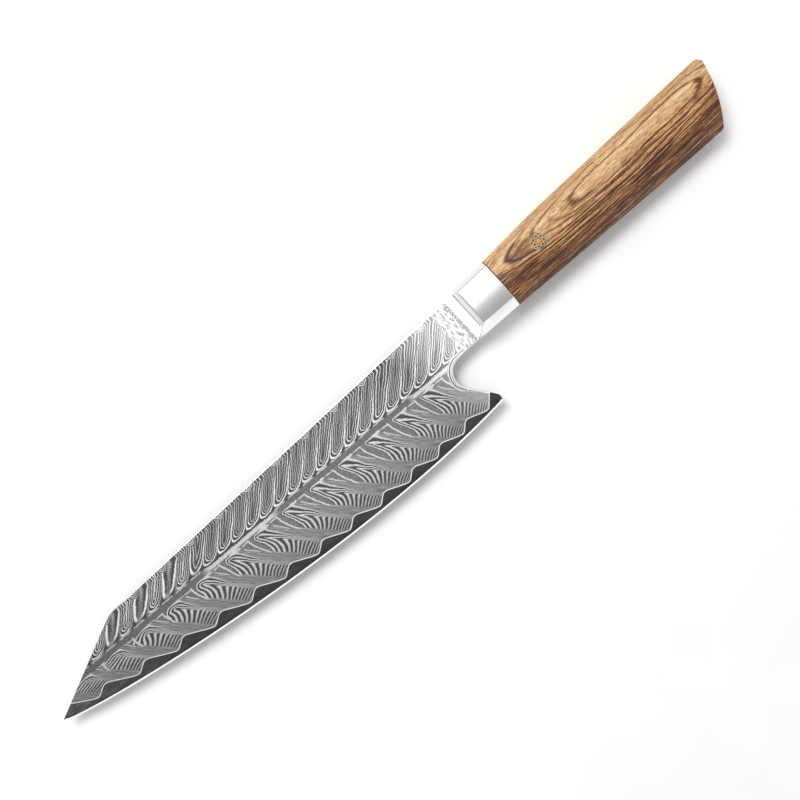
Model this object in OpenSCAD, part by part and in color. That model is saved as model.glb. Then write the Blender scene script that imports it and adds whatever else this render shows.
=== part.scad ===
// Chef knife with a laminated blade, a steel bolster and a hardwood handle on a hidden tang.
// The knife lies on its right side: +X runs from the tip to the butt, +Y from the edge to the
// spine, and +Z is the left side of the knife. All sizes are millimetres.

/* [Blade] */
// Length of the blade from the tip to the back of the heel
blade_l = 203; // [185:1:220]
// Depth of the blade control curve below the spine line
blade_h = 42.8; // [40:0.1:46]
// How far the clipped tip lies below the spine line
tip_drop = 17.3; // [15:0.1:19]
// Height of the blunt end of the tip
tip_blunt = 0.7; // [0.4:0.1:1.2]
// Slope of the clipped part of the spine, in degrees
clip_slope = 23.6; // [20:0.1:27]
// Radius where the clip meets the spine
clip_r = 10; // [4:1:20]
// Thickness of the spine above the heel
spine_t = 2.2; // [1.8:0.1:2.8]
// Thickness of the spine line carried on to the tip
tip_spine_t = 1.6; // [1.2:0.1:1.8]
// Thickness of the blade just above the cutting bevel
edge_t = 0.4; // [0.3:0.05:0.6]
// Height of the cutting bevel
bevel_h = 0.65; // [0.4:0.05:1]

/* [Heel and choil] */
// Radius of the rounded heel corner
heel_r = 2.6; // [1.5:0.1:3]
// Height of the heel corner's centre below the spine line
heel_drop = 40.1; // [38:0.1:41]
// Radius of the finger curve behind the heel
choil_r = 6.05; // [4:0.05:7]
// Distance of the finger curve's centre in front of the back of the heel
choil_set = 2.4; // [0:0.1:4]
// Height of the neck from its underside to the spine line
neck_h = 19.1; // [17:0.1:20]

/* [Laminate] */
// Number of scallops along the line where the cladding ends
scallops = 12; // [10:1:14]
// Share of the blade's thickness that is the hard core
core_share = 0.45; // [0.3:0.05:0.6]
// Distance from the tip to the first low point of the scalloped line
first_low = 15.8; // [14:0.1:18]
// Length of the first scallop
first_scallop = 17.3; // [16:0.1:18]
// How much shorter each scallop is than the one before it
scallop_change = 0.375; // [0.3:0.005:0.4]
// Height of the low points above the edge, near the tip and at the heel
low_h = [2.4, 1.45];
// Height of the scallops, near the tip and at the heel
scallop_h = [3.7, 3.1];
// Share of each scallop taken by its short steep side
steep_share = 0.32; // [0.2:0.02:0.5]

/* [Bolster] */
// Distance from the tip to the front of the bolster
bolster_x = 215.2; // [214:0.1:217]
// Distance from the tip to the joint between the bolster and the handle
joint_x = 231.2; // [228:0.1:234]
// Lean of the bolster's front face, in degrees
front_lean = 10; // [0:1:20]
// Depth of the blade's tongue inside the bolster
tongue_l = 4.3; // [3:0.1:5]

/* [Handle] */
// Length of the handle from the joint to the butt, along the spine line
handle_l = 109.5; // [100:0.5:115]
// Thickness of the handle between its two flats
handle_t = 18; // [16:0.1:20]
// Radius of the handle's crowned sides
side_r = 30; // [26:1:40]
// How far the crown would rise above each flat
crown_h = 0.25; // [0.1:0.05:0.4]
// Height of the crown line below the spine line
crown_drop = 5.7; // [4:0.1:8]
// Rise of the blade's spine up to the bolster
neck_rise = 0.9; // [0.5:0.1:1.2]
// Rise of the handle's top behind the bolster
swell_rise = 1.2; // [0.8:0.1:1.6]
// Further rise of the handle's top up to the butt
top_rise = 0.25; // [0:0.05:0.5]
// Height of the handle's underside below the spine line, at the joint
under_drop = 19.95; // [19.5:0.05:20.5]
// Fall of the underside from the joint to the butt, in degrees
under_slope = 2.15; // [1.5:0.05:2.5]
// Belly of the underside below its straight line
under_belly = 0.45; // [0:0.05:0.8]
// Radius of the slanted butt
butt_r = 120; // [80:5:200]
// Slant of the butt at the spine line, in degrees
butt_slant = 14.3; // [8:0.1:18]
// Radii of the butt's corners at the spine side and at the edge side
butt_corner_r = [1.6, 1.1];
// Height of the facet along the top of each side, and its angle to the flats
top_facet = [2.05, 49.5];
// Height of the facet along the underside of each side, and its angle to the flats
under_facet = [3.75, 35];

/* [Tang] */
// Thickness of the hidden tang
tang_t = 3; // [2.5:0.1:3.5]
// Height of the tang at the bolster and at its rounded end
tang_h = [12.5, 8];
// Length of the tang behind the joint
tang_l = 88; // [70:1:95]
// Depth of the tang inside the bolster
tang_root = 4.5; // [3:0.1:6]
// Room for the adhesive around the tang
glue_gap = 0.6; // [0.4:0.1:0.8]
// Thickness of the adhesive in the joint behind the bolster
glue_film = 0.15; // [0.1:0.01:0.3]

/* [Mosaic pin] */
// Outer diameter of the pin
pin_d = 6.35; // [6:0.05:7]
// Wall of the pin's outer tube
pin_wall = 0.35; // [0.3:0.01:0.4]
// Distance of the pin behind the joint
pin_set = 20.1; // [18:0.1:24]
// Height of the pin below the spine line
pin_drop = 7.5; // [6:0.1:9]
// Radius of the ring on which the small tubes stand
ring_r = 1.97; // [1.95:0.01:2]
// Outer radius and bore radius of each small tube
ring_tube = [0.83, 0.4];
// Radius of the ring of wires, and of each wire
ring_wire = [2.48, 0.25];
// Outer radius of the centre tube, and radius of the rod in it
center_tube = [1.1, 0.68];

/* [Hidden] */
ring_n = 7;  // small tubes in the pin's ring, and wires between them
TUBES = [for (i = [1:ring_n]) str("pin_tube_", i)];
WIRES = [for (i = [1:ring_n]) str("pin_wire_", i)];
$fn = 96;

reach = 60;                 // further than any part of the section, for cutting shapes
stations = 24;              // cross-sections along the blade's edge curve
neck_x0 = bolster_x - 29;   // where the spine begins to rise to the bolster
neck_x1 = bolster_x - 1;    // where that rise ends
swell_x0 = joint_x - 7;     // where the handle's top begins to rise
swell_x1 = joint_x + 29;    // where that rise ends
handle_end = joint_x + handle_l;
choil_c = [blade_l - choil_set, -(neck_h + choil_r + 0.25)];
heel_c = [blade_l - heel_r, -heel_drop];
butt_c = [handle_end - butt_r * cos(butt_slant), butt_r * sin(butt_slant)];
pin_c = [joint_x + pin_set, -pin_drop];

// Plain helpers
function mix(a, b, f) = a + (b - a) * f;
function clamp01(v) = max(0, min(1, v));
function ease(f) = clamp01(f) * clamp01(f) * (3 - 2 * clamp01(f));
function arc(c, r, a0, a1, n) = [for (i = [0:n]) c + r * [cos(mix(a0, a1, i / n)), sin(mix(a0, a1, i / n))]];

// Points that round a corner at p, whose edges leave it at the angles a1 and a2
function fillet(p, a1, a2, r, n) =
    let (half = (a2 - a1) / 2,
         c = p + r / sin(half) * [cos(a1 + half), sin(a1 + half)])
    arc(c, r, a1 - 90, a2 - 270, n);

// The cutting edge is one cubic curve from the tip to the heel
edge_points = [
    [0, -tip_drop - tip_blunt], [0.1125 * blade_l, -0.6285 * blade_h],
    [0.648 * blade_l, -1.103 * blade_h], [blade_l, -0.981 * blade_h]];
function edge_at(s) =
    pow(1 - s, 3) * edge_points[0] + 3 * pow(1 - s, 2) * s * edge_points[1]
    + 3 * (1 - s) * s * s * edge_points[2] + s * s * s * edge_points[3];
edge_line = concat(
    [for (i = [0:stations]) edge_at(i / stations)],
    [[bolster_x + tongue_l, edge_points[3][1]]]);
edge_low = min([for (p = edge_line) p[1]]);
function edge_y(x) = lookup(x, edge_line);

// The top of the whole knife: level along the blade, then rising to the bolster and the handle
function top_y(x) =
    neck_rise * ease((x - neck_x0) / (neck_x1 - neck_x0))
    + swell_rise * ease((x - swell_x0) / (swell_x1 - swell_x0))
    + top_rise * clamp01((x - swell_x1) / (handle_end - swell_x1));

// The underside of the bolster and the handle
function under_y(x) =
    let (f = clamp01((x - joint_x) / handle_l))
    -under_drop - (x - joint_x) * tan(under_slope) - 4 * under_belly * f * (1 - f);

// Half the blade's thickness on the spine line
function spine_half(x) = mix(tip_spine_t, spine_t, clamp01(x / blade_l)) / 2;

// One cross-section of the blade: edge, shoulder and a straight flank that runs past the spine
function blade_section(p, share) =
    let (over = 4,
         shoulder = p[1] + bevel_h,
         top = share * mix(edge_t / 2, spine_half(p[0]), (over - shoulder) / -shoulder))
    [[p[0], p[1], 0], [p[0], shoulder, share * edge_t / 2], [p[0], over, top],
     [p[0], over, -top], [p[0], shoulder, -share * edge_t / 2]];

// The ground wedge from edge to spine; share thins it to the core's part of the thickness
module grind_form(share = 1) {
    rings = [for (p = edge_line) blade_section(p, share)];
    last = len(rings) - 1;
    sides = 5;
    polyhedron(
        points = [for (ring = rings) each ring],
        faces = concat(
            [[for (j = [sides - 1:-1:0]) j]],
            [[for (j = [0:sides - 1]) last * sides + j]],
            [for (i = [0:last - 1]) for (j = [0:sides - 1]) let (k = (j + 1) % sides)
                each [[i * sides + j, (i + 1) * sides + k, (i + 1) * sides + j],
                      [i * sides + j, i * sides + k, (i + 1) * sides + k]]]));
}

// The blade's outline above and behind the edge: clip, spine, tongue and the neck's underside
function blade_outline() =
    let (tangent_x = tip_drop / tan(clip_slope) + clip_r * tan(clip_slope / 2),
         tongue_x = bolster_x + tongue_l,
         ahead = 1)
    concat(
        [[-ahead, -reach], [-ahead, -tip_drop - ahead * tan(clip_slope)]],
        arc([tangent_x, -clip_r], clip_r, 90 + clip_slope, 90, 3),
        [for (f = [0:0.2:1]) let (x = mix(neck_x0, neck_x1, f)) [x, top_y(x)]],
        [[bolster_x, top_y(bolster_x)], [bolster_x, -3], [tongue_x, -3], [tongue_x, -16]],
        [[bolster_x, -16], [bolster_x, -neck_h], [choil_c[0], -neck_h], [choil_c[0], -reach]]);

// What is cut away behind the heel: the choil's circle and the slanted back edge that is tangent
// to it and to the rounded heel corner
module behind_heel() {
    gap = norm(heel_c - choil_c);
    slant = atan2(heel_c[1] - choil_c[1], heel_c[0] - choil_c[0]) + asin((heel_r + choil_r) / gap);
    translate(choil_c) circle(r = choil_r);
    polygon(concat(
        [choil_c, choil_c + choil_r * [cos(slant - 90), sin(slant - 90)]],
        arc(heel_c, heel_r, slant + 90, -75, 5),
        [[heel_c[0] + heel_r * cos(75), -reach], [bolster_x, -reach], [bolster_x, choil_c[1]]]));
}

module blade_form() {
    difference() {
        intersection() {
            grind_form();
            linear_extrude(height = 2 * spine_t, center = true) polygon(blade_outline());
        }
        linear_extrude(height = 4 * spine_t, center = true) behind_heel();
    }
}

// Low points of the scalloped line are at whole numbers of this count, and the scallops shorten
// towards the heel
function scallop_x(i) = first_low + first_scallop * i - scallop_change / 2 * i * i;
function scallop_y(x, rise) =
    edge_y(x) + mix(low_h[0], low_h[1], x / blade_l) + rise * mix(scallop_h[0], scallop_h[1], x / blade_l);

// Each scallop climbs steeply to its high point and falls gently to the next low point
function scallop_line() = [
    for (i = [-1:scallops])
        let (steps = [[0, 0], [0.4, 0.45], [0.8, 0.95], [1.15, 0.97], [2, 0.5], [2.7, 0.12]])
        for (step = steps)
            let (x = scallop_x(i + step[0] * steep_share))
            if (x < blade_l + 2) [x, scallop_y(x, step[1])]];

// The space of one cladding layer, on the left (+1) or the right (-1) of the core: everything
// above the scalloped line and outside the core's own wedge
module cladding_zone(side) {
    line = scallop_line();
    past = bolster_x + 2 * tongue_l;
    zone_t = 3 * spine_t;
    difference() {
        translate([0, 0, side > 0 ? 0 : -zone_t])
            linear_extrude(height = zone_t)
                polygon(concat(line, [[past, line[len(line) - 1][1]], [past, reach], [line[0][0], reach]]));
        grind_form(core_share);
    }
}

module cladding(side) {
    intersection() {
        blade_form();
        cladding_zone(side);
    }
}

// Outline of the bolster and handle in side view, from x0 back to x1 or to the butt
function butt_x(y) = butt_c[0] + sqrt(butt_r * butt_r - pow(y - butt_c[1], 2));
function butt_angle(y) = asin((y - butt_c[1]) / butt_r);
function butt_points() =
    let (top = top_y(handle_end),
         low_x = butt_x(under_y(handle_end)),
         low = under_y(low_x),
         a_top = butt_angle(top),
         a_low = butt_angle(low),
         spine_side = fillet([butt_x(top), top], 180, a_top + 270, butt_corner_r[0], 8),
         edge_side = fillet([butt_x(low), low], a_low + 90, 180 - under_slope, butt_corner_r[1], 6))
    concat(
        spine_side,
        [for (f = [0.12:0.1:0.93]) let (a = mix(a_top, a_low, f)) butt_c + butt_r * [cos(a), sin(a)]],
        edge_side);
function grip_outline(x0, x1) =
    let (step = 4, back = x1 < handle_end - 5 ? [[x1, top_y(x1)], [x1, under_y(x1)]] : butt_points(),
         stop = min(x1, handle_end - 10))
    concat(
        [for (x = [x0:step:stop - 1]) [x, top_y(x)]],
        back,
        [for (x = [stop - 1:-step:x0 + 1]) [x, under_y(x)]],
        [[x0, under_y(x0)]]);

// Cuts away everything outside a plane that leans from the flats by angle, on both sides
module facet_cut(at, pitch, angle) {
    for (side = [0, 1])
        mirror([0, 0, side])
            translate(at)
                rotate([0, 0, pitch])
                    rotate([angle, 0, 0])
                        translate([-reach, -reach, 0])
                            cube([4 * reach, 2 * reach, reach]);
}

// Height of the crowned side above the middle plane, at the height y
function side_z(y) =
    min(handle_t / 2, handle_t / 2 + crown_h - side_r + sqrt(side_r * side_r - pow(y + crown_drop, 2)));

// The common body of the two crowned sides
module crowned_sides(x0, length) {
    intersection_for (side = [-1, 1])
        translate([x0, -crown_drop, side * (handle_t / 2 + crown_h - side_r)])
            rotate([0, 90, 0])
                cylinder(r = side_r, h = length, $fn = 240);
}

// The outer form shared by the bolster, the joint film and the handle
module grip_form(x0, x1) {
    top_line = top_y(joint_x) - top_facet[0];
    under_line = under_y(joint_x) + under_facet[0];
    top_pitch = atan((top_y(handle_end) - top_y(joint_x)) / handle_l);
    difference() {
        intersection() {
            linear_extrude(height = handle_t, center = true) polygon(grip_outline(x0, x1));
            crowned_sides(x0 - 1, x1 - x0 + 5);
        }
        facet_cut([joint_x, top_line, side_z(top_line)], top_pitch, -top_facet[1]);
        facet_cut([joint_x, under_line, side_z(under_line)], -under_slope, under_facet[1]);
    }
}

// Tang outline with a rounded end, grown by the room for adhesive where that is asked for
function tang_outline(x0, grow) =
    let (end_r = tang_h[1] / 2 + grow,
         root_h = tang_h[0] / 2 + grow,
         end_c = [joint_x + tang_l - tang_h[1] / 2, pin_c[1]])
    concat(
        [[x0, pin_c[1] - root_h]],
        arc(end_c, end_r, -90, 90, 16),
        [[x0, pin_c[1] + root_h]]);

module tang_form(x0, grow = 0) {
    linear_extrude(height = tang_t + 2 * grow, center = true) polygon(tang_outline(x0, grow));
}

module pin_bore() {
    translate([pin_c[0], pin_c[1], -handle_t])
        cylinder(d = pin_d, h = 2 * handle_t);
}

// A rod or tube of the pin, ground flush with the handle's sides
module pin_piece(at, r_out, r_in = 0) {
    intersection() {
        translate([pin_c[0] + at[0], pin_c[1] + at[1], -handle_t / 2])
            difference() {
                cylinder(r = r_out, h = handle_t);
                if (r_in > 0)
                    translate([0, 0, -1]) cylinder(r = r_in, h = handle_t + 2);
            }
        crowned_sides(pin_c[0] - pin_d, 2 * pin_d);
    }
}

function ring_at(i, r, turn) = r * [cos(turn + 360 * i / ring_n), sin(turn + 360 * i / ring_n)];
tube_turn = 27;                         // angle of the first small tube
wire_turn = tube_turn + 180 / ring_n;   // the wires stand between the tubes

// Moves a piece from the drawing's origin at the tip to the middle of the knife's underside
knife_l = max([for (p = grip_outline(joint_x, handle_end)) p[0]]);
knife_top = max([for (p = grip_outline(joint_x, handle_end)) p[1]]);
module placed() {
    translate([-knife_l / 2, -(knife_top + edge_low) / 2, handle_t / 2]) children();
}

module core_steel() {
    color([0.33, 0.33, 0.34]) placed()
        difference() {
            blade_form();
            cladding_zone(1);
            cladding_zone(-1);
        }
}

module left_cladding() {
    color([0.62, 0.63, 0.64]) placed() cladding(1);
}

module right_cladding() {
    color([0.62, 0.63, 0.64]) placed() cladding(-1);
}

module tang() {
    color([0.55, 0.56, 0.57]) placed()
        difference() {
            tang_form(joint_x - glue_film - tang_root);
            pin_bore();
        }
}

module bolster() {
    color([0.86, 0.87, 0.88]) placed()
        difference() {
            grip_form(bolster_x, joint_x - glue_film);
            for (side = [0, 1])
                mirror([0, 0, side])
                    translate([bolster_x, -reach, spine_t / 2])
                        rotate([0, front_lean, 0])
                            translate([-reach, 0, 0]) cube([reach, 2 * reach, reach]);
            blade_form();
            tang_form(joint_x - glue_film - tang_root);
        }
}

module handle_block() {
    color([0.73, 0.54, 0.34]) placed()
        difference() {
            grip_form(joint_x, handle_end);
            tang_form(joint_x - 1, glue_gap);
            pin_bore();
        }
}

module tang_adhesive() {
    color([0.16, 0.13, 0.11]) placed()
        difference() {
            union() {
                grip_form(joint_x - glue_film, joint_x);
                tang_form(joint_x - glue_film / 2, glue_gap);
            }
            tang_form(joint_x - glue_film - tang_root);
            pin_bore();
        }
}

module pin_outer_tube() {
    color([0.85, 0.85, 0.84]) placed() pin_piece([0, 0], pin_d / 2, pin_d / 2 - pin_wall);
}

module pin_tube(i) {
    color([0.78, 0.62, 0.30]) placed() pin_piece(ring_at(i, ring_r, tube_turn), ring_tube[0], ring_tube[1]);
}

module pin_wire(i) {
    color([0.76, 0.48, 0.32]) placed() pin_piece(ring_at(i, ring_wire[0], wire_turn), ring_wire[1]);
}

module pin_center_tube() {
    color([0.80, 0.55, 0.38]) placed() pin_piece([0, 0], center_tube[0], center_tube[1]);
}

module pin_center_rod() {
    color([0.82, 0.66, 0.34]) placed() pin_piece([0, 0], center_tube[1]);
}

// The dark resin that fills the pin between its tubes and inside the small ones
module pin_resin() {
    color([0.10, 0.09, 0.08]) placed() {
        difference() {
            pin_piece([0, 0], pin_d / 2 - pin_wall);
            translate([pin_c[0], pin_c[1], -handle_t]) {
                cylinder(r = center_tube[0], h = 2 * handle_t);
                for (i = [0:ring_n - 1]) {
                    translate(ring_at(i, ring_r, tube_turn)) cylinder(r = ring_tube[0], h = 2 * handle_t);
                    translate(ring_at(i, ring_wire[0], wire_turn))
                        cylinder(r = ring_wire[1], h = 2 * handle_t);
                }
            }
        }
        for (i = [0:ring_n - 1])
            pin_piece(ring_at(i, ring_r, tube_turn), ring_tube[1]);
    }
}

core_steel();
left_cladding();
right_cladding();
tang();
bolster();
handle_block();
tang_adhesive();
pin_outer_tube();
pin_center_tube();
pin_center_rod();
pin_resin();
for (i = [0:ring_n - 1]) pin_tube(i);
for (i = [0:ring_n - 1]) pin_wire(i);
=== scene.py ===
"""Looks of a chef knife: laminated blade, polished steel bolster, hardwood handle with a mosaic pin.

Lengths are millimetres in the drawing's frame, unless a name says otherwise: x runs from the
blade's tip to the butt, y from the edge up to the spine (0 on the straight part of the spine),
z from the right side to the left (0 in the middle plane). at() turns them into row metres.
"""

import math

import bpy
import numpy as np
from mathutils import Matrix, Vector
from mathutils.geometry import delaunay_2d_cdt


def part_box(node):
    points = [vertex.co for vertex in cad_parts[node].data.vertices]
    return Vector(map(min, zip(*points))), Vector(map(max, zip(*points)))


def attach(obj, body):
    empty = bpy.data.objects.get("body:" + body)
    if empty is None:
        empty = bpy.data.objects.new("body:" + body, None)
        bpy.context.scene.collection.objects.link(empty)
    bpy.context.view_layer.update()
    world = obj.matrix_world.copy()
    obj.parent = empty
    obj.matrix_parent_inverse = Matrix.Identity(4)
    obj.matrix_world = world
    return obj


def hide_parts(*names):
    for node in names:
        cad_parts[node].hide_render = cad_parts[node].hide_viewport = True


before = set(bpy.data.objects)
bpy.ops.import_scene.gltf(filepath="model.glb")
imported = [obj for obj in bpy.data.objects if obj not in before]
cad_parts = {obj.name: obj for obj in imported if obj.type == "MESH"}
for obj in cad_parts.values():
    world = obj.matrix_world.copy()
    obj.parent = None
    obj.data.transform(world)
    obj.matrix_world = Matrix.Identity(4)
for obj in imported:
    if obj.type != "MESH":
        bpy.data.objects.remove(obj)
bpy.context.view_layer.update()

MM = 0.001

# ---------------------------------------------------------------- dimensions, as in the CAD

BLADE_L = 203
BLADE_H = 42.8
TIP_DROP = 17.3
TIP_BLUNT = 0.7
CLIP_SLOPE = math.radians(23.6)
CLIP_R = 10
TIP_SPINE_T = 1.6
SPINE_T = 2.2
EDGE_T = 0.4
BEVEL_H = 0.65
CORE_SHARE = 0.45
CHOIL_C = (200.6, -25.4)
CHOIL_R = 6.05
HEEL_C = (200.4, -40.1)
HEEL_R = 2.6
NECK_H = 19.1
BOLSTER_X = 215.2
JOINT_X = 231.2
GLUE_FILM = 0.15
HANDLE_L = 109.5
HANDLE_END = JOINT_X + HANDLE_L
HANDLE_T = 18
# How high the top rises over the neck, past the joint and toward the butt. The distances say how
# far before the bolster, before the joint and after the joint it starts, and how long it takes.
NECK_RISE = 0.9
NECK_RISE_BEFORE = 29
NECK_RISE_RUN = 28
GRIP_RISE = 1.2
GRIP_RISE_BEFORE = 7
GRIP_RISE_RUN = 36
BUTT_RISE = 0.25
BUTT_RISE_AFTER = 29
SIDE_R = 30
CROWN_H = 0.25
CROWN_DROP = 5.7
UNDER_DROP = 19.95
UNDER_SLOPE = math.radians(2.15)
UNDER_BELLY = 0.45
BUTT_R = 120
BUTT_C = (224.418, 29.64)
TOP_FACET = (2.05, math.radians(49.5))
UNDER_FACET = (3.75, math.radians(35))
FRONT_LEAN = math.radians(10)
PIN_SET = 20.1
PIN_DROP = 7.5
PIN_D = 6.35

# ---------------------------------------------------------------- details that the CAD leaves out

# Where the etched layers fade out, and where the broken marks before the plain neck run
FADE_X = (178, 203)
MARKS_X = (203.8, 211.4)
# The polished border along the spine: its lower limit, and where it begins behind the clip
SPINE_BORDER_Y = (-0.4, -0.2)
SPINE_BORDER_X = (44.0, 50.0)
# The bolster's lip under the neck: where it starts, and how far it sweeps forward
LIP_TOP = -15.2
LIP_REACH = 5
# The butt's corner radii
TOP_CORNER_R = 2.2
UNDER_CORNER_R = 0.4
# How far the cutting edge stays above the CAD's, so that the visual model stays inside its box
EDGE_LIFT = 0.02
# Widths of the bright rims of the cladding, along the choil and along the scallops
CHOIL_RIM = 0.58
SCALLOP_RIM = 0.36
# Steps between mesh points: round the outline, over the flanks and along the shoulder
BORDER_STEP = 0.9
GRID_STEP = 1.6
SHOULDER_STEP = 1.1
# How far the grid's points stay off the outline, the scallops and the shoulder
CLEAR_BORDER = 0.9
CLEAR_SCALLOP = 0.7
CLEAR_SHOULDER = 0.5
# Distances from the outline of the rows of points beside it
BORDER_ROWS = (0.12, 0.32, 0.6)
# How far the flanks fall at the outline and on its first row, and how near counts as on them
EASE_FALL = (0.2, 0.035)
EASE_NEAR = (0.02, 0.2)
# How far the blade runs on into the bolster, and the angle at which the heel meets the edge
BLADE_IN = 2.2
HEEL_END = -1.31
# The film between core and claddings, and the scallop's step between bare core and cladding
CORE_GAP = 0.02
CLAD_STEP = 0.015

# The drawing's origin in the row frame: the tip, the spine line and the middle plane
PIN_LOW, PIN_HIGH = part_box("pin_outer_tube")
ORIGIN = Vector((
    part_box("core_steel")[0].x,
    (PIN_LOW.y + PIN_HIGH.y) / 2 + PIN_DROP * MM,
    (PIN_LOW.z + PIN_HIGH.z) / 2,
))


def at(x, y, z):
    """A point of the drawing in the row frame."""
    return (ORIGIN.x + x * MM, ORIGIN.y + y * MM, ORIGIN.z + z * MM)


# ---------------------------------------------------------------- outlines


def mix(a, b, f):
    return a + (b - a) * f


def ease(f):
    f = min(1, max(0, f))
    return f * f * (3 - 2 * f)


def arc(centre, radius, start, end, count):
    """Points on an arc, with the angles in radians."""
    turns = [mix(start, end, i / count) for i in range(count + 1)]
    return [(centre[0] + radius * math.cos(a), centre[1] + radius * math.sin(a)) for a in turns]


EDGE_CONTROL = np.array([
    (0, -TIP_DROP - TIP_BLUNT),
    (0.1125 * BLADE_L, -0.6285 * BLADE_H),
    (0.648 * BLADE_L, -1.103 * BLADE_H),
    (BLADE_L, -0.981 * BLADE_H),
])
EDGE_S = np.linspace(0, 1, 200)[:, None]
EDGE = (
    (1 - EDGE_S) ** 3 * EDGE_CONTROL[0]
    + 3 * (1 - EDGE_S) ** 2 * EDGE_S * EDGE_CONTROL[1]
    + 3 * (1 - EDGE_S) * EDGE_S**2 * EDGE_CONTROL[2]
    + EDGE_S**3 * EDGE_CONTROL[3]
)


def edge_y(x):
    return np.interp(x, EDGE[:, 0], EDGE[:, 1])


def top_y(x):
    """The top of the whole knife: level on the blade, rising to the bolster and the handle."""
    return (
        NECK_RISE * ease((x - BOLSTER_X + NECK_RISE_BEFORE) / NECK_RISE_RUN)
        + GRIP_RISE * ease((x - JOINT_X + GRIP_RISE_BEFORE) / GRIP_RISE_RUN)
        + BUTT_RISE * min(1, max(0, (x - JOINT_X - BUTT_RISE_AFTER) / (HANDLE_L - BUTT_RISE_AFTER)))
    )


def under_y(x):
    """The underside of the bolster and the handle."""
    f = min(1, max(0, (x - JOINT_X) / HANDLE_L))
    return -UNDER_DROP - (x - JOINT_X) * math.tan(UNDER_SLOPE) - 4 * UNDER_BELLY * f * (1 - f)


# Scallops of the line between cladding and core: low points at whole numbers
# and, within one scallop, how high the line stands at points along it
SCALLOP_STEPS = [
    (0, 0), (0.128, 0.45), (0.256, 0.95), (0.368, 0.97), (0.64, 0.5), (0.864, 0.12), (1, 0),
]
LOW_H = (2.4, 1.45)
SCALLOP_H = (3.7, 3.1)
FIRST_LOW = 15.8
FIRST_SCALLOP = 17.3
SCALLOP_CHANGE = 0.375
SCALLOPS = 12
# How fast the line climbs past the last low point, in scallop heights for each scallop's length
LAST_RISE = 3.9


def scallop_x(i):
    return FIRST_LOW + FIRST_SCALLOP * i - SCALLOP_CHANGE / 2 * i * i


def scallop_rise(f):
    """Height of the line within one scallop, from 0 at the low points to 1, with a rounded top."""
    xs = [x for x, _ in SCALLOP_STEPS]
    ys = [y for _, y in SCALLOP_STEPS]
    around = [np.interp((f + d) % 1, xs, ys) for d in (-0.04, -0.02, 0, 0.02, 0.04)]
    return sum(around) / len(around)


def scallop_line(start, end, steps):
    """Points of the line between the x values start and end."""
    points = []
    for n in range(-steps, (SCALLOPS + 1) * steps):
        i = n / steps
        x = scallop_x(i)
        if start < x < end:
            along = x / BLADE_L
            rise = (i - SCALLOPS) * LAST_RISE if i > SCALLOPS + 0.1 else scallop_rise(i % 1)
            y = edge_y(x) + mix(*LOW_H, along) + rise * mix(*SCALLOP_H, along)
            points.append((x, float(y)))
    return points


def blade_outline():
    """The blade and neck in side view, from the tip over the spine and back along the edge."""
    clip_end = TIP_DROP / math.tan(CLIP_SLOPE) + CLIP_R * math.tan(CLIP_SLOPE / 2)
    turn = math.pi / 2
    bend = arc((clip_end, -CLIP_R), CLIP_R, turn + CLIP_SLOPE, turn, 8)
    clip_x = np.arange(0, bend[0][0] - 0.4, BORDER_STEP)
    clip = [(x, -TIP_DROP + x * math.tan(CLIP_SLOPE)) for x in clip_x]
    spine_x = np.arange(clip_end + BORDER_STEP, BOLSTER_X + BLADE_IN, BORDER_STEP)
    spine = [(x, top_y(x)) for x in spine_x]
    neck_end = spine[-1][0]
    gap = math.dist(CHOIL_C, HEEL_C)
    slant = math.atan2(HEEL_C[1] - CHOIL_C[1], HEEL_C[0] - CHOIL_C[0])
    slant += math.asin((HEEL_R + CHOIL_R) / gap)
    neck = [(x, -NECK_H) for x in np.arange(neck_end, CHOIL_C[0] + 2, -BORDER_STEP)]
    choil = arc(CHOIL_C, CHOIL_R, turn, slant + 3 * turn, 26)
    heel = arc(HEEL_C, HEEL_R, slant + turn, HEEL_END, 16)
    heel = [p for p in heel if p[1] > edge_y(p[0])]
    back_ends = (np.array(choil[-1]), np.array(heel[0]))
    back = [tuple(mix(*back_ends, f)) for f in np.arange(0.08, 0.95, 0.08)]
    steps = int(heel[-1][0] / BORDER_STEP)
    edge = [(x, float(edge_y(x)) + EDGE_LIFT) for x in np.linspace(heel[-1][0] - 0.4, 0, steps)]
    return clip + bend + spine + neck + choil + back + heel + edge


def spread(points, gap):
    """A closed outline with points added so that no step is longer than gap."""
    out = []
    for a, b in zip(points, points[1:] + points[:1]):
        count = max(1, math.ceil(math.dist(a, b) / gap))
        out += [(mix(a[0], b[0], i / count), mix(a[1], b[1], i / count)) for i in range(count)]
    return out


def inside(points, outline):
    """Which of the points lie inside the outline."""
    x, y = points[:, 0], points[:, 1]
    found = np.zeros(len(points), bool)
    for (x1, y1), (x2, y2) in zip(outline, outline[1:] + outline[:1]):
        crosses = (y1 > y) != (y2 > y)
        if y1 != y2:
            found ^= crosses & (x < (x2 - x1) * (y - y1) / (y2 - y1) + x1)
    return found


def distance_to(points, line, closed):
    """Distance from each point to a line of points."""
    best = np.full(len(points), np.inf)
    ends = line[1:] + line[:1] if closed else line[1:]
    for a, b in zip(line, ends):
        a, b = np.array(a), np.array(b)
        run = b - a
        f = np.clip(((points - a) @ run) / (run @ run), 0, 1)
        best = np.minimum(best, np.hypot(*(points - a - f[:, None] * run).T))
    return best


def inset(line, gap):
    """Points beside a line that runs clockwise round its inside."""
    out = []
    for i, p in enumerate(line):
        a = line[i - 1] if i else line[0]
        b = line[(i + 1) % len(line)]
        run = math.dist(a, b) or 1
        out.append((p[0] + gap * (b[1] - a[1]) / run, p[1] - gap * (b[0] - a[0]) / run))
    return out


# ---------------------------------------------------------------- meshes


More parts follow.
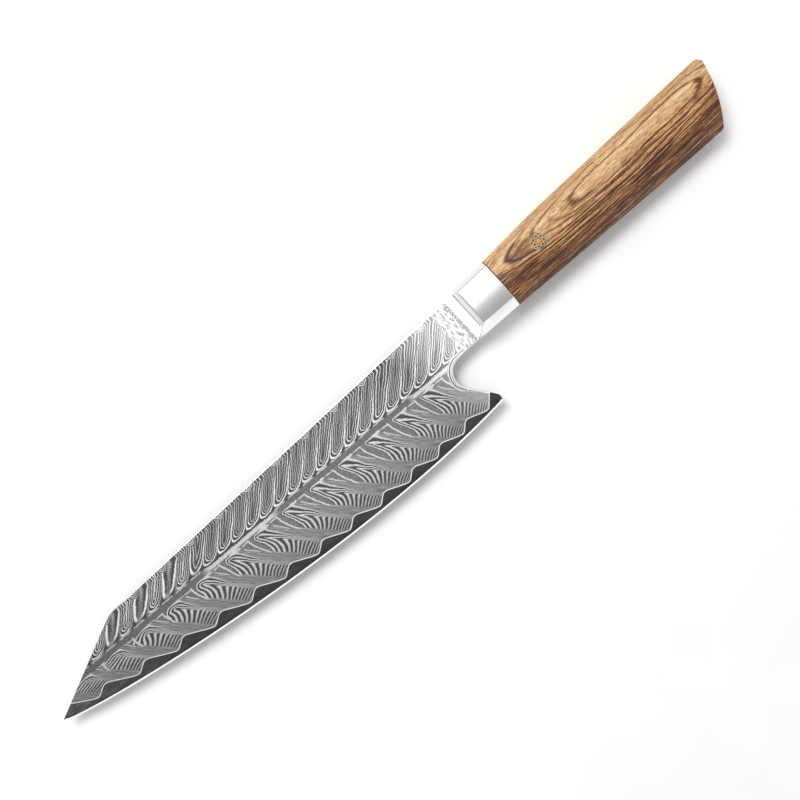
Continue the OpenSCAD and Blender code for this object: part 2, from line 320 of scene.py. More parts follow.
def make_piece(name, points, faces, materials, replaced, sharp):
    """A piece in the row frame. faces are (corners, material index), and sharp is in degrees."""
    mesh = bpy.data.meshes.new(name)
    mesh.from_pydata([at(*p) for p in points], [], [f for f, _ in faces])
    for material in materials:
        mesh.materials.append(material)
    mesh.polygons.foreach_set("material_index", [m for _, m in faces])
    mesh.polygons.foreach_set("use_smooth", [True] * len(faces))
    mesh.set_sharp_from_angle(angle=math.radians(sharp))
    mesh.update()
    piece = bpy.data.objects.new(name, mesh)
    bpy.context.scene.collection.objects.link(piece)
    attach(piece, "root")
    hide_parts(replaced)
    return piece


def sheet(lines, closed, loose, outline):
    """Flat triangles inside the outline that keep the given lines as edges."""
    points, edges = [], []
    for line, loop in zip(lines, closed):
        first = len(points)
        points += line
        edges += [(first + i, first + i + 1) for i in range(len(line) - 1)]
        if loop:
            edges.append((first + len(line) - 1, first))
    points += loose
    made = delaunay_2d_cdt([Vector(p) for p in points], edges, [], 0, 1e-5)
    flat = np.array([tuple(v) for v in made[0]])
    triangles = np.array([tuple(f) for f in made[2]])
    middles = flat[triangles].mean(axis=1)
    return flat, triangles[inside(middles, outline)]


def solid(flat, triangles, front, back, index, side=None):
    """Points and faces of a closed body between two heights over flat triangles.

    index gives each triangle's material, and side the material of the faces round the border.
    """
    used = np.unique(triangles)
    new = {int(v): i for i, v in enumerate(used)}
    count = len(used)
    xy = flat[used]
    points = [(x, y, z) for (x, y), z in zip(xy, front[used])]
    points += [(x, y, z) for (x, y), z in zip(xy, back[used])]
    faces, border = [], {}
    for n, (a, b, c) in enumerate(triangles):
        a, b, c = new[int(a)], new[int(b)], new[int(c)]
        faces.append(((a, b, c), int(index[n])))
        faces.append(((c + count, b + count, a + count), int(index[n])))
        for edge in ((a, b), (b, c), (c, a)):
            if edge[::-1] in border:
                del border[edge[::-1]]
            else:
                border[edge] = int(index[n])
    for (a, b), m in border.items():
        faces.append(((b, a, a + count, b + count), m if side is None else side))
    return points, faces


# ---------------------------------------------------------------- material graphs


class Value:
    """One output in a material's node graph, which takes plain arithmetic."""

    def __init__(self, graph, socket):
        self.graph = graph
        self.socket = socket

    def __add__(self, other):
        return self.graph.math("ADD", self, other)

    def __sub__(self, other):
        return self.graph.math("SUBTRACT", self, other)

    def __rsub__(self, other):
        return self.graph.math("SUBTRACT", other, self)

    def __mul__(self, other):
        return self.graph.math("MULTIPLY", self, other)

    def __truediv__(self, other):
        return self.graph.math("DIVIDE", self, other)

    __radd__ = __add__
    __rmul__ = __mul__


class Graph:
    """Builds one node tree from arithmetic. x, y and z are the place or direction that it reads."""

    def __init__(self, tree, source, origin, unit):
        self.tree = tree
        place = tree.nodes.new("ShaderNodeTexCoord").outputs[source]
        scaled = tree.nodes.new("ShaderNodeMapping")
        scaled.inputs["Location"].default_value = [-c / unit for c in origin]
        scaled.inputs["Scale"].default_value = [1 / unit] * 3
        tree.links.new(place, scaled.inputs["Vector"])
        parts = tree.nodes.new("ShaderNodeSeparateXYZ")
        tree.links.new(scaled.outputs["Vector"], parts.inputs[0])
        self.x, self.y, self.z = [Value(self, parts.outputs[i]) for i in range(3)]

    def put(self, socket, value):
        if isinstance(value, Value):
            self.tree.links.new(value.socket, socket)
        else:
            socket.default_value = value

    def math(self, operation, *values):
        node = self.tree.nodes.new("ShaderNodeMath")
        node.operation = operation
        for socket, value in zip(node.inputs, values):
            self.put(socket, value)
        return Value(self, node.outputs[0])

    def frac(self, v):
        return self.math("FRACT", v)

    def floor(self, v):
        return self.math("FLOOR", v)

    def absolute(self, v):
        return self.math("ABSOLUTE", v)

    def sqrt(self, v):
        return self.math("SQRT", v)

    def power(self, v, exponent):
        return self.math("POWER", v, exponent)

    def least(self, a, b):
        return self.math("MINIMUM", a, b)

    def most(self, a, b):
        return self.math("MAXIMUM", a, b)

    def step(self, v, low, high):
        """0 below low and 1 above high, smooth between them. high may be the smaller."""
        node = self.tree.nodes.new("ShaderNodeMapRange")
        node.interpolation_type = "SMOOTHSTEP"
        flip = low > high
        self.put(node.inputs["Value"], v)
        self.put(node.inputs["From Min"], min(low, high))
        self.put(node.inputs["From Max"], max(low, high))
        self.put(node.inputs["To Min"], float(flip))
        self.put(node.inputs["To Max"], float(not flip))
        return Value(self, node.outputs["Result"])

    def blend(self, a, b, f):
        """a where f is 0 and b where f is 1."""
        return (1 - f) * a + f * b

    def rows(self, v, low, high):
        """Lines where v is a whole number. Lower limits make them wider."""
        return self.step(self.absolute(self.frac(v) - 0.5) * 2, low, high)

    def line(self, v, low, high):
        """One line where v is 0, which is gone at low and full at high."""
        return self.step(self.absolute(v), low, high)

    def noise(self, x, y, z, detail):
        """Smooth noise from 0 to 1 at a point given in units of its own grain."""
        spot = self.tree.nodes.new("ShaderNodeCombineXYZ")
        for socket, value in zip(spot.inputs, (x, y, z)):
            self.put(socket, value)
        node = self.tree.nodes.new("ShaderNodeTexNoise")
        node.inputs["Scale"].default_value = 1
        node.inputs["Detail"].default_value = detail
        self.tree.links.new(spot.outputs[0], node.inputs["Vector"])
        return Value(self, node.outputs[0])

    def ramp(self, f, stops):
        """A colour from f, by (position, colour) stops."""
        node = self.tree.nodes.new("ShaderNodeValToRGB")
        row = node.color_ramp.elements
        while len(row) < len(stops):
            row.new(1)
        for element, (position, colour) in zip(row, stops):
            element.position = position
            element.color = (*colour, 1)
        self.put(node.inputs[0], f)
        return Value(self, node.outputs[0])

    def tint(self, f, a, b, mode="MIX"):
        """Colour a where f is 0 and b where f is 1."""
        node = self.tree.nodes.new("ShaderNodeMix")
        node.data_type = "RGBA"
        node.blend_type = mode
        self.put(node.inputs[0], f)
        for socket, value in zip(node.inputs[6:8], (a, b)):
            self.put(socket, value if isinstance(value, Value) else (*value, 1))
        return Value(self, node.outputs[2])


class Look(Graph):
    """Builds one procedural material, in the drawing's millimetres."""

    def __init__(self, name):
        self.material = bpy.data.materials.new(name)
        self.material.use_nodes = True
        super().__init__(self.material.node_tree, "Object", ORIGIN, MM)
        self.shader = self.tree.nodes["Principled BSDF"]

    def finish(self, colour, roughness, metallic=0.0, height=None, depth=0.0):
        """Sets the surface. height is relief from 0 to 1, and depth its full height."""
        inputs = self.shader.inputs
        self.put(inputs["Base Color"], colour if isinstance(colour, Value) else (*colour, 1))
        self.put(inputs["Roughness"], roughness)
        self.put(inputs["Metallic"], metallic)
        if height is not None:
            bump = self.tree.nodes.new("ShaderNodeBump")
            bump.inputs["Distance"].default_value = depth * MM
            self.put(bump.inputs["Height"], height)
            self.tree.links.new(bump.outputs[0], inputs["Normal"])
        return self.material


def grey(v):
    return (v, v, v)


def shade(value):
    """The linear grey of a picture value from 0 to 255."""
    v = value / 255
    return v / 12.92 if v <= 0.04045 else ((v + 0.055) / 1.055) ** 2.4


def paint(red, green, blue):
    """The linear colour of picture values from 0 to 255."""
    return (shade(red), shade(green), shade(blue))


# ---------------------------------------------------------------- the etched pattern

# Depth of the scallops' high points below the spine line, as a polynomial of x
CLAD_X = np.linspace(8, BLADE_L, 80)
HIGH_POINTS = -edge_y(CLAD_X) - mix(*LOW_H, CLAD_X / BLADE_L) - mix(*SCALLOP_H, CLAD_X / BLADE_L)
HIGH_CURVE = [float(c) for c in np.polyfit(CLAD_X, HIGH_POINTS, 4)]
# The centre strip: its depth at the tip, its slope, half its width, and the most room below it
STRIP_D = 9.2
STRIP_SLOPE = 0.05
STRIP_HALF = 1.1
FULL_REACH = 20.4
# Where the layers close up over the strip: its two ends, each with a short fade
CLOSED_X = ((75.0, 80.0, 108.0, 114.0), (176.0, 180.0, 198.0, 201.0))
# The ridges at the strip, and what is added by the scallops: the first one's x, their gap, its change
RIDGE_FIRST = (14.1, 8.5)
RIDGE_GAP = (14.37, 2.38)
RIDGE_CHANGE = (0.045, 0.145)
# The fingers above the strip: the first one's start, their spacing, and how far they lean back
FINGER_START = 6.5
FINGER_GAP = 6.88
FINGER_LEAN = 1.02
# Where they change to the fewer, fuller ones near the tip
FORE_X = (84.0, 70.0)
# The chevrons at the spine: the first one's start, and their spacing
CHEVRON_START = 88.2
CHEVRON_GAP = 14.6
# Spacing of the layers that run round the choil, and how far they stand off it
CHOIL_LAYER = 0.9
CHOIL_OFF = 0.15


def wobble(o, seeds, broad):
    """Small and broad wobbles of the forged layers, in millimetres."""
    small = o.noise(o.x / 0.9, o.y / 0.9, seeds[0], 1) - 0.5
    wide = o.noise(o.x / 5, o.y / 5, seeds[1], 1) - 0.5
    return small * 0.45 + wide * broad


def comb_layers(o, p, leg, deep, below):
    """Numbers of the layers, which fall from each ridge: steeply to its left, along it to its right."""
    fast = o.most(deep - 9.3, 0.0)
    at_ridge = o.least(1.6 + deep * 0.22 + fast * fast * 0.06, 0.6 + (below - STRIP_HALF) * 1.3)
    fast = o.most(deep - 13.0, 0.0)
    at_left = 1.0 + (deep - 11.95) * 0.75 + fast * fast * 0.045
    at_left = o.least(at_left, at_ridge - 1.5)
    left = at_ridge + (at_left - at_ridge) * o.power((1 - p) * 2, 1.15)
    right = at_ridge + (1 - at_ridge) * p / leg
    return o.most(o.blend(right, left, o.step(p, 0.495, 0.505)), 0.5)


def leaf_lines(o, p, tall, below, inner):
    """The leaf's rim and vein at the top of a drawn-out band, and the cap next to the strip."""
    rim_p = 0.44 + 0.36 * o.power(o.most(1 - tall / 12, 0.0), 1.4)
    leaf = o.line(p - rim_p, 0.035, 0.014) * o.step(tall, 12.0, 9.5) * o.step(tall, -0.2, 0.2)
    vein = o.line(p - inner, 0.03, 0.012) * o.step(tall, 1.0, 2.5) * o.step(tall, 8.5, 6.5)
    cap = o.line(below - STRIP_HALF - 0.4, 0.32, 0.12)
    cap = cap * o.step(p, 0.5, 0.58) * o.step(p, 0.8, 0.74)
    return o.most(leaf, o.most(vein * 0.9, cap))


def ridges(o, x, v):
    """Number of the ridge at x, rising by one for each scallop. v is 0 at the strip and 1 below."""
    # ridge i lies at x = first + gap * i - change * i * i, solved here for i
    r = o.power(v, 1.15)
    first = RIDGE_FIRST[0] + RIDGE_FIRST[1] * r
    gap = RIDGE_GAP[0] + RIDGE_GAP[1] * r
    change = RIDGE_CHANGE[0] + RIDGE_CHANGE[1] * r
    return (gap - o.sqrt(gap * gap - 4 * change * (x - first))) / (2 * change)


def combs(o, x, depth, strip, grain):
    """Below the strip: one comb and one drawn-out band for each scallop."""
    high = HIGH_CURVE[0]
    for c in HIGH_CURVE[1:]:
        high = high * x + c
    below = o.most(depth - strip, 0.0)
    reach = high - strip
    v = below / reach
    p = o.frac(ridges(o, x, v))
    deep = FULL_REACH - reach + below - STRIP_HALF
    tall = v * FULL_REACH - STRIP_HALF
    leg = o.most(0.34 - tall * 0.017, 0.14)
    field = comb_layers(o, p, leg, deep, below)
    plain = o.step(field, 0.56, 0.5) * (grain * 0.5 - 0.04)
    low = o.most(o.rows(field, 0.35, 0.8) * (1 - 0.45 * o.step(v, 0.5, 1.1)), plain)
    streak = o.noise(p * 30, below / 3.5, 1.0, 2)
    inner = 0.49 - tall * 0.006
    end = o.blend(inner, 0.5, o.step(tall, 7.5, 10.0))
    band = o.step(p - leg, -0.01, 0.03) * o.step(p - end, 0.02, -0.02) * o.step(tall, 0.4, 1.6)
    low = o.blend(low, streak * 1.4 - 0.36, band * (1 - 0.25 * o.step(v, 0.4, 0.9)))
    return o.most(low, leaf_lines(o, p, tall, below, inner))


def fingers(o, x, depth, strip):
    """Above the strip: two fingers for each scallop. Also how far inside its finger each point is."""
    up = strip - depth
    lean = o.least(up, strip - 1.7)
    q = (x - lean * FINGER_LEAN - FINGER_START) / FINGER_GAP
    which = o.floor(q)
    odd = o.frac(which / 2) * 2
    late = o.step(which, 16.0, 17.0)
    large = o.absolute(odd + late - 1)
    fore = o.step(o.x, *FORE_X)
    size = 1.0 + 1.4 * (1 - fore) + (0.7 + 1.6 * fore) * large
    size = size + 1.1 * o.noise(which * 3.7, 0.5, 2.0, 0) * (1 - fore)
    fin = 1 - o.absolute(o.frac(q) - 0.5) * 2
    fu = 0.5 + fin * size * o.step(up, 0.9, 4.5) * o.step(up, 34.0, 12.0) + up * 0.05
    upper = o.rows(fu, 0.42, 0.85) * (1 - 0.35 * o.step(fu, 1.7, 2.7) * (1 - fore))
    fuzz = o.noise(o.x / 1.1 - o.y / 1.1, (o.x + o.y) * 2.2, 2.0, 1)
    fuzzy = o.step(fin, 0.5, 0.2) * large + o.step(fin, 0.5, 0.75) * (1 - large)
    return o.blend(upper, fuzz * 1.1 - 0.15, fore * o.least(fuzzy, 1.0) * 0.8), fin


def chevrons(o, x, depth):
    """Layer numbers of the small chevrons that open at the spine, from 0 at their outside."""
    along = o.frac((x - CHEVRON_START) / CHEVRON_GAP) - 0.5
    return 4.0 - depth * 1.4 - (o.sqrt(along * along + 0.004) - 0.06) * 20.0


def centre_strip(o, lines, off_axis, fin, grain):
    """Adds the strip: plain grey, and bright where the layers close up. off_axis is 0 on its middle."""
    ragged = o.noise(o.x / 1.2, o.y / 1.2, 5.0, 2)
    closed = 0.0
    for start, after, before, end in CLOSED_X:
        closed = closed + o.step(o.x, start, after) * o.step(o.x, end, before)
    off = o.absolute(off_axis) - (0.75 + ragged * 0.7 - closed * 0.7)
    lines = o.blend(lines, grain * 0.3 + closed * 0.85, o.step(off, 0.12, -0.12))
    ends = o.most(closed, o.step(off_axis, 0.1, -0.1) * o.step(fin, 0.15, 0.35))
    return o.most(lines, o.line(off - 0.15, 0.4, 0.08) * 0.85 * ends)


def round_choil(o, lines, shift):
    """Adds the last layers, which run round the choil and along the neck's underside."""
    east = o.least(o.x - CHOIL_C[0], 0.0)
    north = o.y - CHOIL_C[1]
    ring = o.sqrt(east * east + north * north) - (CHOIL_R + CHOIL_OFF) + shift * 0.5
    near = o.step(ring, 2.2, 1.8) * o.step(o.x, 190.0, 191.0) * o.step(o.y, -28.0, -26.0)
    return o.blend(lines, o.rows(ring / CHOIL_LAYER + 0.1, 0.35, 0.8), near)


def layer_pattern(o):
    """Brightness of the etched layers from 0 (dark) to 1 (bright) on the cladding."""
    shift = wobble(o, (0.0, 3.0), 1.2)
    x = o.x + shift
    depth = wobble(o, (7.0, 9.0), 0.6) - o.y
    strip = STRIP_D + x * STRIP_SLOPE
    grain = o.noise(o.x * 1.6 + o.y * 0.8, o.y * 1.1, 8.0, 2)
    upper, fin = fingers(o, x, depth, strip)
    vee = chevrons(o, x, depth)
    upper = o.blend(upper, o.rows(vee, 0.45, 0.85), o.step(vee, -0.1, 0.3))
    upper = (upper - 0.5) * 1.4 + 0.46
    lower = combs(o, x, depth, strip, grain)
    lines = o.blend(upper, lower, o.step(depth - strip, -0.2, 0.2))
    lines = centre_strip(o, lines, depth - strip, fin, grain)
    return round_choil(o, lines, shift)


# ---------------------------------------------------------------- materials


def etched_colour(g, bright, fine):
    """Grey of the etched steel, with a little fine grain."""
    etched = g.ramp((bright + 0.25) / 1.5, [
        (0, grey(shade(40))),
        (0.17, grey(shade(68))),
        (0.83, grey(shade(184))),
        (1, grey(shade(226))),
    ])
    return g.tint(0.12, etched, g.ramp(fine, [(0.3, grey(0.02)), (0.7, grey(0.9))]), "OVERLAY")


def broken_marks(g, dots):
    """Grey of the broken upright marks where the etching stops, with a finer column at their right."""
    upright = g.noise(g.x * 1.3, g.y * 0.35, 4.0, 2)
    column = g.step(g.x, MARKS_X[1] - 1.9, MARKS_X[1] - 1.3)
    marks = g.blend(upright * 0.75 + dots * 0.25 + 0.05, dots - 0.03, column)
    return g.ramp(marks, [(0.34, grey(shade(100))), (0.48, grey(shade(172))), (0.61, grey(0.97))])


def cladding_material(name):
    """Etched layers, which fade out before the bolster into a polished neck."""
    g = Look(name)
    bright = layer_pattern(g)
    fine = g.noise(g.x * 3, g.y * 3, g.z, 3)
    dots = g.noise(g.x * 3, g.y * 1.9, 6.0, 2)
    fade = g.step(g.x + g.y * 0.25, *FADE_X)
    pale = g.ramp(bright, [(0, grey(shade(150))), (1, grey(0.98))])
    colour = g.tint(fade, etched_colour(g, bright, fine), pale)
    ragged = (g.noise(g.y * 0.9, 1.0, 2.0, 2) - 0.5) * 2
    in_marks = g.step(g.x + ragged, MARKS_X[0] - 0.6, MARKS_X[0] + 1.2)
    colour = g.tint(in_marks, colour, broken_marks(g, dots))
    # the polished neck, with painted shade that darkens it in the corner at the bolster
    plain = g.step(g.x + dots * 0.5, MARKS_X[1], MARKS_X[1] + 0.4)
    corner = g.step(g.x, BOLSTER_X - 0.5, BOLSTER_X + 0.1)
    polished = g.ramp(fine * 0.2 + 0.8 - corner * 0.8, [(0.2, grey(0.45)), (0.8, grey(0.97))])
    colour = g.tint(plain, colour, polished)
    border = g.step(g.y, *SPINE_BORDER_Y) * g.step(g.x, *SPINE_BORDER_X)
    colour = g.tint(border * 0.8, colour, grey(0.9))
    shine = g.most(fade, border)
    relief = bright * (1 - g.most(in_marks, border))
    return g.finish(colour, 0.42 - 0.12 * shine, 0.75 + 0.2 * shine, relief, 0.01)


def core_material():
    g = Look("core_steel_look")
    haze = g.noise(g.x / 6, g.y / 1.2, g.z, 3)
    streak = g.noise(g.x * 0.4, g.y * 8, g.z, 2)
    toward_tip = g.step(g.x, 70.0, 5.0) * 0.3
    colour = g.ramp(haze * 0.7 + streak * 0.3 + toward_tip, [
        (0.3, grey(shade(42))),
        (0.7, grey(shade(66))),
        (1.0, grey(shade(104))),
    ])
    return g.finish(colour, 0.4, 0.8, streak, 0.004)


def bright_steel(name, low=225, high=245, rough=0.25):
    g = Look(name)
    fine = g.noise(g.x * 1.5, g.y * 6, g.z * 6, 3)
    colour = g.ramp(fine, [(0.3, grey(shade(low))), (0.7, grey(shade(high)))])
    return g.finish(colour, rough, 1.0, fine, 0.002)


def honed_edge_highlight():
    """The honed satin bevel, given a near-white, barely metallic colour that paints its highlight as a
    white line.
    """
    g = Look("bevel_highlight_look")
    fine = g.noise(g.x * 6, g.y * 1.5, g.z * 6, 3)
    return g.finish(g.ramp(fine, [(0.3, grey(0.93)), (0.7, grey(0.99))]), 0.4, 0.15, fine, 0.002)


def polished_steel():
    """The bolster's mirror polish, with a blurred line of painted shade where its front meets the neck.
    """
    g = Look("polished_steel_look")
    fine = g.noise(g.x * 1.5, g.y * 6, g.z * 6, 3)
    colour = g.ramp(fine, [(0.3, grey(shade(232))), (0.7, grey(shade(244)))])
    # painted shade: a grey band on the bolster's front, round the neck
    corner = g.step(g.x, BOLSTER_X + 1.3, BOLSTER_X + 0.5) * g.step(g.absolute(g.z), 3.6, 1.8)
    corner = corner * g.step(g.x, BOLSTER_X - 1.2, BOLSTER_X - 0.3)
    colour = g.tint(corner, colour, grey(0.6))
    return g.finish(colour, 0.27, 1.0, fine, 0.0015)


def plain_metal(name, dark, light, rough=0.3):
    g = Look(name)
    fine = g.noise(g.x * 2, g.y * 2, g.z * 2, 3)
    return g.finish(g.ramp(fine, [(0.3, dark), (0.7, light)]), rough, 1.0, fine, 0.004)


def filler(name, dark, light):
    g = Look(name)
    fine = g.noise(g.x * 3, g.y * 3, g.z * 3, 3)
    return g.finish(g.ramp(fine, [(0.3, dark), (0.7, light)]), 0.45, 0.0, fine, 0.01)


# The wood's loops: where they are at their widest, and from where they close toward the butt
LOOP_X = 286
LOOP_CLOSE_X = 322


def veneer_layers(g):
    """Numbers of the veneers, which the crowned sides cut into long loops."""
    rise = g.absolute(g.least((g.x - LOOP_X) / 50, 0.0))
    close = g.most(g.x - LOOP_CLOSE_X, 0.0) / 19
    ridge = 0.58 - 2.65 * g.power(rise, 1.6) - close * close
    across = (g.y + 5.0 + (g.noise(g.x / 26, 0.5, 1.0, 1) - 0.5) * 1.6) / 4.8
    slow = g.noise(g.x / 13, g.y / 2.6, g.z / 3, 1) - 0.5
    quick = g.noise(g.x / 2.6, g.y / 0.9, g.z, 1) - 0.5
    return across * across - ridge + (9.1 - g.absolute(g.z)) * 1.2 + slow * 0.36 + quick * 0.14


def dark_lines(g, layer, run, dense):
    """Darkness of the veneers' joints, of the thin broken lines and of the pores."""
    seam = g.rows(layer, 0.72, 0.97)
    seam = seam * (0.7 + 0.6 * g.noise(g.x / 20, layer, 3.0, 1))
    wave = g.noise(g.x / 45, run * 0.5, g.z / 5 + 3, 1)
    row = run * 0.74 + wave * 3.4
    broken = g.step(g.noise(g.x / 12, g.floor(row) * 3.7, 5.0, 1), 0.25, 0.55)
    thin = g.rows(row, 0.35, 0.8) * broken * g.step(g.y, 0.5, -5.5)
    thin = thin * g.step(layer, -0.4, 0.9)
    pores = g.step(g.noise(g.x / 4, g.y * 3.1, g.z * 3.1, 2), 0.5, 0.34)
    return seam * 0.4 + thin * (0.36 + 0.06 * dense) + pores * 0.2


def wood_material():
    """Laminated wood with dark lines along its veneers, its grain denser toward the underside, and
    painted shade that darkens it toward the underside and a little toward the top.
    """
    g = Look("pakkawood_look")
    layer = veneer_layers(g)
    run = g.sqrt(g.most(layer + 3.0, 0.0)) * 4.8
    dense = g.step(g.y, -6.5, -11.0)
    depth = g.z / 4 + g.y * 0.9
    streak = g.step(g.noise(g.x / 30, run * 1.3, depth, 1), 0.3, 0.7) - 0.5
    thread = g.noise(g.x / 14, run * 2.1, depth + 7, 1) - 0.5
    fibre = g.noise(g.x / 1.6, g.y * 3.4, g.z * 3.4, 1) - 0.5
    # painted shade: the tone falls toward the underside and again a little toward the top
    level = g.ramp(g.y / 22 + 1, [
        (0.1, grey(0.18)),
        (0.4, grey(0.33)),
        (0.66, grey(0.49)),
        (0.84, grey(0.66)),
        (0.97, grey(0.56)),
    ])
    tone = level + streak * (0.07 + 0.1 * dense) + thread * (0.62 + 0.5 * dense) + fibre * 0.55
    tone = tone - dark_lines(g, layer, run, dense) + 0.15
    colour = g.ramp(tone, [
        (0.0, paint(60, 31, 20)),
        (0.25, paint(102, 61, 35)),
        (0.5, paint(163, 113, 63)),
        (0.72, paint(203, 164, 115)),
        (1.0, paint(232, 208, 170)),
    ])
    return g.finish(colour, 0.42, 0.0, tone, 0.03)


# ---------------------------------------------------------------- blade


def flank(x, y, share=1.0):
    """Half the blade's thickness on its ground flank."""
    shoulder = edge_y(x) + BEVEL_H
    spine = mix(TIP_SPINE_T, SPINE_T, np.clip(x / BLADE_L, 0, 1)) / 2
    rise = np.clip((y - shoulder) / -shoulder, 0, 1.05)
    at_edge = np.clip((y - edge_y(x)) / BEVEL_H, 0.06, 1)
    return share * (EDGE_T / 2 * at_edge + (spine - EDGE_T / 2) * rise)


def points_on_flanks(border, scallop):
    """Loose points of the flank's mesh: rows beside the outline, and a staggered grid within."""
    found = []
    for gap in BORDER_ROWS:
        ring = np.array(inset(border, gap))
        keep = distance_to(ring, border, True) > gap * 0.9
        keep &= ring[:, 1] > edge_y(ring[:, 0]) + BEVEL_H + 0.1
        found += [tuple(p) for p in ring[keep & inside(ring, border)]]
    grid = []
    for row, y in enumerate(np.arange(-BLADE_H - 0.2, 1, GRID_STEP)):
        grid += [(x + GRID_STEP / 2 * (row % 2), y) for x in np.arange(1, BOLSTER_X, GRID_STEP)]
    grid = np.array(grid)
    clear = inside(grid, border) & (distance_to(grid, border, True) > CLEAR_BORDER)
    clear &= distance_to(grid, scallop, False) > CLEAR_SCALLOP
    clear &= grid[:, 1] > edge_y(grid[:, 0]) + BEVEL_H + CLEAR_SHOULDER
    return found + [tuple(p) for p in grid[clear]]


def above_line(points, line):
    """Which of the points lie above a line that runs along x."""
    return points[:, 1] > np.interp(points[:, 0], [p[0] for p in line], [p[1] for p in line])


def blade_zones(middles, border, scallop, rim):
    """Which triangles are cladding, by their middles, and which of them are its bright rim."""
    past_heel = (middles[:, 0] > BLADE_L - 0.6) & (middles[:, 1] > CHOIL_C[1] - 3)
    above = past_heel | above_line(middles, scallop)
    at_choil = (middles[:, 0] > CHOIL_C[0] - 8.6) & (middles[:, 0] < BOLSTER_X - 2)
    at_choil &= middles[:, 1] < -NECK_H + 0.7
    at_choil &= distance_to(middles, border, True) < CHOIL_RIM
    in_rim = above & ~past_heel & ~above_line(middles, rim)
    return above, in_rim | (at_choil & above)


def blade_heights(flat, border):
    """Heights of the blade's flank and of the core's under the cladding, above the middle plane."""
    near = distance_to(flat, border, True)
    square = flat[:, 1] < edge_y(flat[:, 0]) + BEVEL_H + 0.3
    square |= flat[:, 0] > BOLSTER_X + 1
    eased = np.select([near < EASE_NEAR[0], near < EASE_NEAR[1]], EASE_FALL, 0)
    full = flank(flat[:, 0], flat[:, 1]) - np.where(square, 0, eased)
    return full, flank(flat[:, 0], flat[:, 1], CORE_SHARE) - CORE_GAP


def build_blade():
    border = spread(blade_outline(), BORDER_STEP)
    scallop = scallop_line(1, BLADE_L - 0.5, 24)
    rim = inset(scallop, -SCALLOP_RIM)
    shoulder_x = np.arange(2, BLADE_L - 0.8, SHOULDER_STEP)
    shoulder = [(float(x), float(edge_y(x) + BEVEL_H)) for x in shoulder_x]
    loose = points_on_flanks(border, scallop)
    lines = [border, scallop, rim, shoulder]
    flat, triangles = sheet(lines, [True, False, False, False], loose, border)
    middles = flat[triangles].mean(axis=1)
    above, in_rim = blade_zones(middles, border, scallop, rim)
    full, inner = blade_heights(flat, border)

    # the core: its bare zone is as thick as the blade, and it runs on thin under the cladding
    bare, hidden = triangles[~above], triangles[above]
    bevel = (middles[~above][:, 1] < edge_y(middles[~above][:, 0]) + BEVEL_H).astype(int)
    points, faces = solid(flat, bare, full, -full, bevel)
    more, more_faces = solid(flat, hidden, inner, -inner, np.zeros(len(hidden), int))
    faces += [(tuple(v + len(points) for v in f), m) for f, m in more_faces]
    looks = [core_material(), honed_edge_highlight()]
    make_piece("blade_core", points + more, faces, looks, "core_steel", 20)

    looks = [cladding_material("layered_steel_look"), bright_steel("layer_rim_look", 205, 225, 0.35)]
    for side, node in ((1, "left_cladding"), (-1, "right_cladding")):
        front, back = (full + CLAD_STEP) * side, (inner + CORE_GAP) * side
        upper, lower = (front, back) if side > 0 else (back, front)
        points, faces = solid(flat, hidden, upper, lower, in_rim[above].astype(int), 1)
        make_piece(node + "_sheet", points, faces, looks, node, 20)


# ---------------------------------------------------------------- bolster and handle

# Sizes of the rings that close an end, and of those that close the bolster's front round the blade
CAP_SHARES = (0.8, 0.55, 0.3, 0.08)
FRONT_SHARES = (0.05, 0.3, 0.5, 0.65, 0.75, 0.83, 0.9, 0.95)
# Corner radii of the cross-section's four facet edges, from the top to the underside
FACET_R = (0.9, 1.4, 1.6, 0.9)
# Eased edges of the handle block, at the joint and round the butt
JOINT_EASE = 0.12
BUTT_EASE = 0.8
# How far behind the joint the handle's rings begin to lean, to match the slanted butt
LEAN_START = 40
# How far back from its front edge the bolster still leans, and is still swept forward
FRONT_RUN = 12
LIP_RUN = 7


def side_z(y):
    """Half the handle's thickness at the height y."""
    crowned = HANDLE_T / 2 + CROWN_H - SIDE_R + math.sqrt(SIDE_R**2 - (y + CROWN_DROP) ** 2)
    return min(HANDLE_T / 2, crowned)


def rounded(points, radii, steps=4):
    """A closed outline with each corner rounded by its radius, always with the same count."""
    out = []
    count = len(points)
    for i, radius in enumerate(radii):
        p = np.array(points[i], float)
        a = np.array(points[i - 1], float) - p
        b = np.array(points[(i + 1) % count], float) - p
        a_len, b_len = np.hypot(*a), np.hypot(*b)
        a, b = a / a_len, b / b_len
        half = math.acos(max(-1, min(1, float(a @ b)))) / 2
        if radius <= 0 or half > 1.56:
            out.append(tuple(p))
            continue
        reach = min(radius / math.tan(half), 0.45 * a_len, 0.45 * b_len)
        for s in range(steps + 1):
            f = s / steps
            q = (1 - f) ** 2 * (p + a * reach) + 2 * f * (1 - f) * p + f * f * (p + b * reach)
            out.append(tuple(q))
    return out


def grip_section(top, under):
    """The handle's cross-section as (y, z) points, with crowned sides and eased facets."""
    high, low = top - TOP_FACET[0], under + UNDER_FACET[0]
    at_high, at_low = side_z(high), side_z(low)
    at_top = at_high - TOP_FACET[0] * math.tan(TOP_FACET[1])
    at_under = at_low - UNDER_FACET[0] * math.tan(UNDER_FACET[1])
    crown = [mix(high, low, i / 12) for i in range(1, 12)]
    left = [(top, 0), (top, at_top), (high, at_high)]
    left += [(y, side_z(y)) for y in crown]
    left += [(low, at_low), (under, at_under), (under, 0)]
    radii = [0, *FACET_R[:2]] + [0] * len(crown) + [*FACET_R[2:], 0]
    right = [(y, -z) for y, z in left[-2:0:-1]]
    return rounded(left + right, radii + radii[-2:0:-1])


